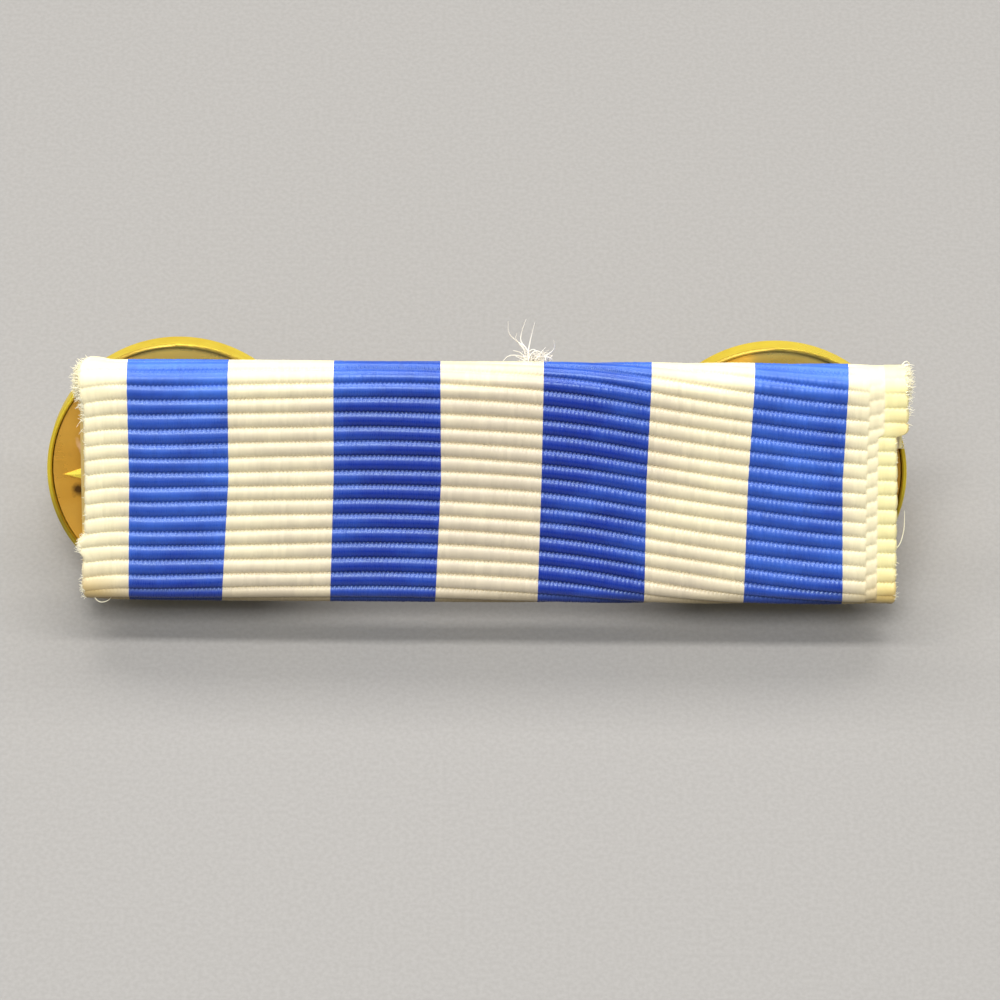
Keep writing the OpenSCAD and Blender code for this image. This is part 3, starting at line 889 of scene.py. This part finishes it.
# a clutch's shell: lemon on its front, orange behind it, and painted shade along the top of its lip and under
# it
shellMarks = {
    "behind": (-2.5, -2.9), "back": (0.86, 0.60, 0.12),  # mm out from the bar's middle plane
    "lip": (-1.30, -1.18),
    "ends": [
        # mm up the face, and the colour of the painted shade there
        ((3.6, 4.8), (0.45, 0.30, 0.05)),
        ((-0.2, -2.2), (0.36, 0.27, 0.03)),
    ],
}


def distance(tree, place, direction, origin):
    # how far a point lies along a direction from an origin, in mm
    values = {0: place, 1: tuple(part / mm for part in direction)}
    reached = put(tree, "ShaderNodeVectorMath", values, operation="DOT_PRODUCT").outputs["Value"]
    return maths(tree, "SUBTRACT", reached, origin)


middleUp = middleY * leanSin + middleZ * leanCos
middleOut = middleZ * leanSin - middleY * leanCos


def upAndOut(tree, place):
    # how far a point lies up the bar's face, and out towards the viewer, in mm
    up = distance(tree, place, (0, leanSin, leanCos), middleUp)
    return up, distance(tree, place, (0, -leanCos, leanSin), middleOut)


def faceFinish(tree, place, spots, colour):
    up, out = upAndOut(tree, place)
    # painted light: the face is brighter above the ribbon
    colour = mix(tree, ramp(tree, up, *faceMarks["paintedLightAbove"]), colour, faceMarks["paintedLightColour"])
    # a dark spot, and a painted reflection laid as a pale streak
    for right, high, halfLong, halfWide, turned, markColour, share in spotAndReflection:
        cos, sin = math.cos(math.radians(turned)), math.sin(math.radians(turned))
        fromX, fromUp = middleX + right, middleUp + high
        lengthwise = distance(tree, place, (cos, sin * leanSin, sin * leanCos), fromX * cos + fromUp * sin)
        crosswise = distance(tree, place, (-sin, cos * leanSin, cos * leanCos), fromUp * cos - fromX * sin)
        reached = put(tree, "ShaderNodeCombineXYZ", {
            0: maths(tree, "DIVIDE", lengthwise, halfLong),
            1: maths(tree, "DIVIDE", crosswise, halfWide),
        }).outputs[0]
        away = put(tree, "ShaderNodeVectorMath", {0: reached}, operation="LENGTH").outputs["Value"]
        away = maths(tree, "ADD", away, ramp(tree, spots, *faceMarks["ragged"]))
        colour = mix(tree, ramp(tree, away, *faceMarks["markEdge"], share, 0.0), colour, markColour)
    # the raised star is worn bright, partly as a painted highlight
    return mix(tree, ramp(tree, out, *faceMarks["star"]), colour, faceMarks["wornAndHighlit"])


def shellFinish(tree, place, colour):
    up, out = upAndOut(tree, place)
    colour = mix(tree, ramp(tree, out, *shellMarks["behind"]), colour, shellMarks["back"])
    lip = ramp(tree, out, *shellMarks["lip"])
    # painted shade along the top of the lip and under it
    for reach, markColour in shellMarks["ends"]:
        colour = mix(tree, maths(tree, "MULTIPLY", lip, ramp(tree, up, *reach)), colour, markColour)
    return colour


def brassMaterial(name):
    look = brassLooks[name]
    mat, tree, shader = blank(name)
    place = objectPlace(tree)
    tarnish, spots, scratches = (
        noise(tree, place, look["scale"] * brassGrain[key][0], *brassGrain[key][1:])
        for key in ("tarnish", "spots", "scratches"))
    pointiness = put(tree, "ShaderNodeNewGeometry").outputs["Pointiness"]
    edge = maths(tree, "MULTIPLY", ramp(tree, pointiness, *brassRamps["edge"]), look["rubbedEdge"])
    colour = mix(tree, ramp(tree, tarnish, *brassRamps["tarnish"]), look["gold"], look["dull"])
    colour = mix(tree, ramp(tree, spots, *brassRamps["spots"]), colour, look["dull"])
    colour = mix(tree, edge, colour, look["worn"])
    if name == "clutchFace":
        colour = faceFinish(tree, place, spots, colour)
    if name == "clutchShell":
        colour = shellFinish(tree, place, colour)
    gloss = rampAbout(tree, tarnish, look["roughness"], *brassRamps["gloss"])
    gloss = maths(tree, "ADD", gloss, ramp(tree, scratches, *brassRamps["scratchGloss"]))
    normal = bump(tree, scratches, *brassGrain["scratchBump"])
    normal = bump(tree, tarnish, *brassGrain["tarnishBump"], normal)
    setSockets(tree, shader, {
        "Base Color": colour, "Metallic": look["metal"], "Roughness": gloss, "Normal": normal,
        "Specular Tint": rgba(look["shine"]),
    })
    return mat


brass = {name: brassMaterial(name) for name in brassLooks}
finishOf = {"bar": "barBrass"}
for side in ("left", "right"):
    finishOf[side + "_clutch_face"] = "clutchFace"
    finishOf[side + "_clutch_shell"] = "clutchShell"
    finishOf[side + "_outer_wing"] = "wingBrass"
    finishOf[side + "_inner_wing"] = "wingBrass"
for node, finish in finishOf.items():
    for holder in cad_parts[node].material_slots:
        holder.material = brass[finish]
print("brass finished")


# floor and light

floor = {
    "half": 0.6,  # m
    "colour": (0.29, 0.283, 0.273), "speck": (0.265, 0.258, 0.248), "roughness": 0.6,
    "grain": (5000, 3), "specks": (0.35, 0.65), "grainBump": (0.15, 0.00002),
}
lights = {
    # place, and width and depth, in m
    "overhead": {
        "place": (0.0, 0.073, 0.342), "size": (0.80, 0.05), "watts": 1.35, "colour": (1.0, 0.98, 0.95),
    },
    "behind": {
        "place": (0.0, 0.25, 0.31), "size": (0.40, 0.07), "watts": 1.0, "colour": (1.0, 0.97, 0.93),
    },
    "above": {
        "place": (-0.03, -0.12, 0.32), "size": (0.14, 0.14), "watts": 0.75, "colour": (1.0, 0.99, 0.97),
    },
    "front": {
        "place": (-0.06, -0.26, 0.24), "size": (0.30, 0.30), "watts": 0.28, "colour": (0.97, 0.98, 1.0),
    },
}
lightAim = (0, 0, 0.005)  # m
surroundings = {"colour": (0.86, 0.88, 0.92), "strength": 0.14}


def makeFloor():
    mat, tree, shader = blank("paleTable")
    grain = noise(tree, objectPlace(tree), *floor["grain"])
    setSockets(tree, shader, {
        "Base Color": mix(tree, ramp(tree, grain, *floor["specks"]), floor["colour"], floor["speck"]),
        "Roughness": floor["roughness"], "Normal": bump(tree, grain, *floor["grainBump"]),
    })
    corners = [(x * floor["half"], y * floor["half"], 0) for x, y in ((-1, -1), (1, -1), (1, 1), (-1, 1))]
    mesh = bpy.data.meshes.new("floor")
    mesh.from_pydata(corners, [], [(0, 1, 2, 3)])
    mesh.materials.append(mat)
    show("floor", mesh)


def makeLights():
    for name, lamp in lights.items():
        data = bpy.data.lights.new(name, "AREA")
        data.shape = "RECTANGLE"
        data.size, data.size_y = lamp["size"]
        data.energy, data.color = lamp["watts"], lamp["colour"]
        shown = show(name, data)
        shown.location = lamp["place"]
        towards = Vector(lightAim) - Vector(lamp["place"])
        shown.rotation_euler = towards.to_track_quat("-Z", "Y").to_euler()
    world = bpy.data.worlds.new("surroundings")
    world.use_nodes = True
    glow = {0: rgba(surroundings["colour"]), 1: surroundings["strength"]}
    setSockets(world.node_tree, world.node_tree.nodes["Background"], glow)
    bpy.context.scene.world = world
    bpy.context.scene.view_settings.view_transform = "Standard"


makeFloor()
makeLights()
print("floor and light made")
